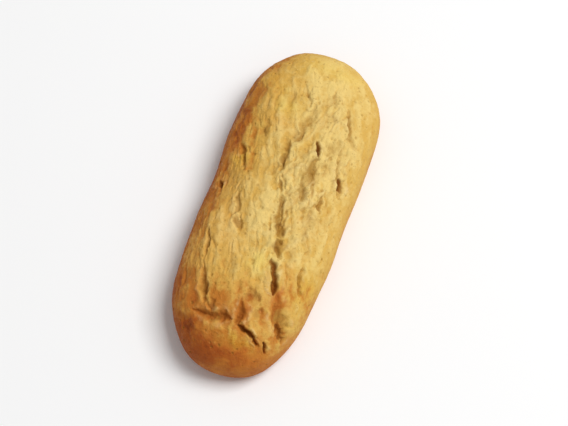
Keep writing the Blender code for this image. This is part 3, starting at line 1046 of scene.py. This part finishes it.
class CookieSizes(bpy.types.PropertyGroup):
    """The cookie's form and the depth of its relief."""

    length: length_property("Length", "Length of the even body", 100 * MM)
    width: length_property("Width", "Width of the even body", 41 * MM)
    height: length_property("Height", "Height of the even body above the floor", 20.5 * MM)
    widest_at: length_property("Widest at", "Height of the widest line above the base", 6.5 * MM)
    under_depth: length_property("Under depth", "Reach of the lower half without a tray", 9.5 * MM)
    crack_depth: number_property("Crack depth", "Share of each crack's full depth", 1.0)
    fissure_depth: length_property("Fissure depth", "Depth of the crown's fine fissures", 0.42 * MM)
    wrinkle_height: length_property("Wrinkle height", "Height of the long wrinkles", 0.37 * MM)
    crumble_height: length_property("Crumble height", "How far loose crumbs stand out", 0.5 * MM)
    crumb_height: length_property("Crumb height", "Height of the crumbly roughness", 0.24 * MM)
    trough_depth: length_property("Trough depth", "Depth of a trough of 1 mm in the list", 1.0 * MM)
    pore_depth: length_property("Pore depth", "Depth of the small open bubbles", 0.3 * MM)
    wrap_angle: number_property("Wrap angle", "Degrees from the top that the fine grid wraps", 128)
    columns: count_property("Columns", "Faces across the fine grid, a multiple of four", 440)
    rows: count_property("Rows", "Faces along the fine grid, a multiple of four", 816)
    triangles: count_property("Triangles", "How many triangles the thinned mesh keeps", 197000)


class CrustColours(bpy.types.PropertyGroup):
    """The baked crust's colours."""

    pale: colour_property("Pale", "Least baked crust on the crown", linear(235, 203, 123))
    gold: colour_property("Gold", "Evenly baked crust", linear(220, 177, 88))
    amber: colour_property("Amber", "Well baked flank", linear(197, 129, 51))
    brown: colour_property("Brown", "Browned lower flank and near end", linear(170, 95, 36))
    dark: colour_property("Dark", "Darkest bake at the base", linear(120, 56, 18))
    # Pale floury colour, also painted as a highlight on raised lips and crumbs
    flour: colour_property("Flour", "Pale crumbs on the cracks' lips", linear(238, 210, 146))
    # The crumb colours are also painted into the troughs as shade
    crumb: colour_property("Crumb", "Shallow torn crumb inside a crack", linear(168, 124, 50))
    baked_crumb: colour_property("Baked crumb", "Torn crumb of a browner bake", linear(172, 104, 40))
    # Dark core of deep cracks: partly darker crumb, partly painted shade
    torn: colour_property("Torn", "Deepest torn crumb", linear(140, 80, 20))
    # On the left this also paints shade
    ruddy: colour_property("Ruddy", "What the reddest bake is multiplied by", (1.0, 0.79, 0.68))
    # Also paints a highlight on the near end
    golden: colour_property("Golden", "What the yellowest bake is multiplied by", (1.0, 1.0, 0.62))


class StageSettings(bpy.types.PropertyGroup):
    """The floor, the lights and the camera."""

    floor: colour_property("Floor", "Colour of the floor", (0.98, 0.98, 0.98))
    floor_size: length_property("Floor size", "Side of the square floor", 6.0)
    key_power: number_property("Key power", "Strength of the main light", 12.9, unit="POWER")
    fill: number_property("Fill", "Strength of the even light from all round", 0.38)
    elevation: angle_property("Elevation", "Camera's angle above the floor", 66)
    azimuth: angle_property("Azimuth", "Camera's turn about the upright", 20.5)
    distance: length_property("Distance", "Camera's distance from the cookie's middle", 0.6)
    lens: number_property("Lens", "Focal length in millimetres", 136.2)
    aside: length_property("Aside", "How far right of the middle the camera stands", 2.83 * MM)
    lower: length_property("Lower", "How far below the middle it stands, in its view", 0.88 * MM)


def thinned(context, mesh, triangles):
    """The mesh as an object, thinned by an applied Decimate modifier, most where it is flat."""
    fine = bpy.data.objects.new("fine_crust", mesh)
    context.scene.collection.objects.link(fine)
    fewer = fine.modifiers.new("fewer_triangles", "DECIMATE")
    mesh.calc_loop_triangles()
    fewer.ratio = triangles / len(mesh.loop_triangles)
    graph = context.evaluated_depsgraph_get()
    kept = bpy.data.meshes.new_from_object(fine.evaluated_get(graph))
    kept.name = "cookie_crust"
    bpy.data.objects.remove(fine)
    bpy.data.meshes.remove(mesh)
    kept.shade_smooth()
    crust = bpy.data.objects.new("cookie_crust", kept)
    context.scene.collection.objects.link(crust)
    return crust


def raise_crust(mesh, points, height):
    """Moves each point outwards by its height, centres the mesh on the solid and draws in its flank."""
    raised = points + vertex_normals(mesh) * height[:, None]
    raised[:, 2] = np.maximum(raised[:, 2], 0)
    middle = (raised.min(axis=0) + raised.max(axis=0)) / 2
    wanted = (np.array(COOKIE_BOX[0]) + np.array(COOKIE_BOX[1])) / 2
    raised[:, :2] += (wanted - middle)[:2]
    raised[:, 0] += waist(points[:, 0], points[:, 1])
    set_points(mesh, raised)


def colour_crust(mesh, points, sizes, relief, shown):
    """Stores what the crust's material reads at each point: cracks fade where their relief does."""
    browned, ruddy, golden = spotted(points, sizes)
    values = {
        "browned": np.clip(browning_and_shade(points, sizes) + browned, 0, 1),
        "ruddy": np.clip(reddening_and_shade(points, sizes) + ruddy, -1, 1),
        "golden": np.clip(golden, -1, 1),
        "split": relief.split * shown,
        "torn": relief.torn * shown,
        "flour": relief.flour * shown,
        "pores": relief.pores,
        "ridges": relief.ridges,
        "hollow": relief.hollow * shown,
    }
    for name, value in values.items():
        add_value(mesh, name, value)


class COOKIE_OT_cookie(bpy.types.Operator):
    """Makes the cookie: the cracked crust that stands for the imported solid"""

    bl_idname = "cookie.make_cookie"
    bl_label = "Cookie"

    def execute(self, context):
        sizes = context.scene.cookie_sizes
        mesh, points = cookie_mesh(sizes)
        rise = (points[:, 2] / sizes.widest_at - RELIEF_FROM) / (RELIEF_FULL - RELIEF_FROM)
        shown = np.clip(rise, 0, 1)
        relief = crust_relief(points, sizes)
        raise_crust(mesh, points, shown * relief.height)
        colour_crust(mesh, points, sizes, relief, shown)
        crust = thinned(context, mesh, sizes.triangles)
        crust.data.materials.append(crust_material(context.scene.crust_colours))
        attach(crust, "root")
        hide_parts("cookie")
        return {"FINISHED"}


def make_floor(scene, settings):
    half = settings.floor_size / 2
    corners = [(-half, -half, 0), (half, -half, 0), (half, half, 0), (-half, half, 0)]
    mesh = bpy.data.meshes.new("floor")
    mesh.from_pydata(corners, [], [(0, 1, 2, 3)])
    mesh.materials.append(floor_material(tuple(settings.floor)))
    floor = bpy.data.objects.new("floor", mesh)
    scene.collection.objects.link(floor)


def make_light(scene, name, place, size, power):
    """A square soft light that faces the cookie's middle."""
    lamp = bpy.data.lights.new(name, "AREA")
    lamp.size = size
    lamp.energy = power
    light = bpy.data.objects.new(name, lamp)
    light.location = place
    light.rotation_euler = Vector(place).to_track_quat("Z", "Y").to_euler()
    scene.collection.objects.link(light)


def make_camera(scene, settings):
    """The camera looks down on the cookie's middle from its elevation and azimuth, a little aside."""
    tilt = pi / 2 - settings.elevation
    view = Matrix.Rotation(settings.azimuth, 4, "Z") @ Matrix.Rotation(tilt, 4, "X")
    middle = Vector((*LOOK_AT, scene.cookie_sizes.widest_at))
    lens = bpy.data.cameras.new("camera")
    lens.lens = settings.lens
    lens.sensor_width = SENSOR_WIDTH
    lens.clip_end = FAR_CLIP
    camera = bpy.data.objects.new("camera", lens)
    camera.location = middle + view @ Vector((settings.aside, -settings.lower, settings.distance))
    camera.rotation_euler = (tilt, 0, settings.azimuth)
    scene.collection.objects.link(camera)
    scene.camera = camera


class COOKIE_OT_stage(bpy.types.Operator):
    """Makes the pale floor, the soft lights and the camera"""

    bl_idname = "cookie.make_stage"
    bl_label = "Stage"

    def execute(self, context):
        scene, settings = context.scene, context.scene.stage_settings
        make_floor(scene, settings)
        make_light(scene, "key", KEY_PLACE, KEY_SIZE, settings.key_power)
        make_camera(scene, settings)
        world = bpy.data.worlds.new("soft_room")
        world.use_nodes = True
        background = world.node_tree.nodes["Background"]
        background.inputs["Color"].default_value = (1, 1, 1, 1)
        background.inputs["Strength"].default_value = settings.fill
        scene.world = world
        scene.view_settings.view_transform = "Standard"
        return {"FINISHED"}


class COOKIE_PT_sidebar(bpy.types.Panel):
    """Lists the cookie's operators and settings"""

    bl_label = "Cookie"
    bl_idname = "COOKIE_PT_sidebar"
    bl_space_type = "VIEW_3D"
    bl_region_type = "UI"
    bl_category = "Cookie"

    def draw(self, context):
        layout, scene = self.layout, context.scene
        for operator in OPERATORS:
            layout.operator(operator.bl_idname)
        for group in (scene.cookie_sizes, scene.crust_colours, scene.stage_settings):
            box = layout.box()
            for name in group.__annotations__:
                box.prop(group, name)


OPERATORS = (COOKIE_OT_cookie, COOKIE_OT_stage)
CLASSES = (CookieSizes, CrustColours, StageSettings, *OPERATORS, COOKIE_PT_sidebar)


def register():
    for kind in CLASSES:
        bpy.utils.register_class(kind)
    bpy.types.Scene.cookie_sizes = PointerProperty(type=CookieSizes)
    bpy.types.Scene.crust_colours = PointerProperty(type=CrustColours)
    bpy.types.Scene.stage_settings = PointerProperty(type=StageSettings)


def unregister():
    del bpy.types.Scene.stage_settings
    del bpy.types.Scene.crust_colours
    del bpy.types.Scene.cookie_sizes
    for kind in reversed(CLASSES):
        bpy.utils.unregister_class(kind)


def main():
    register()
    bpy.ops.cookie.make_cookie()
    bpy.ops.cookie.make_stage()


if __name__ == "__main__":
    main()
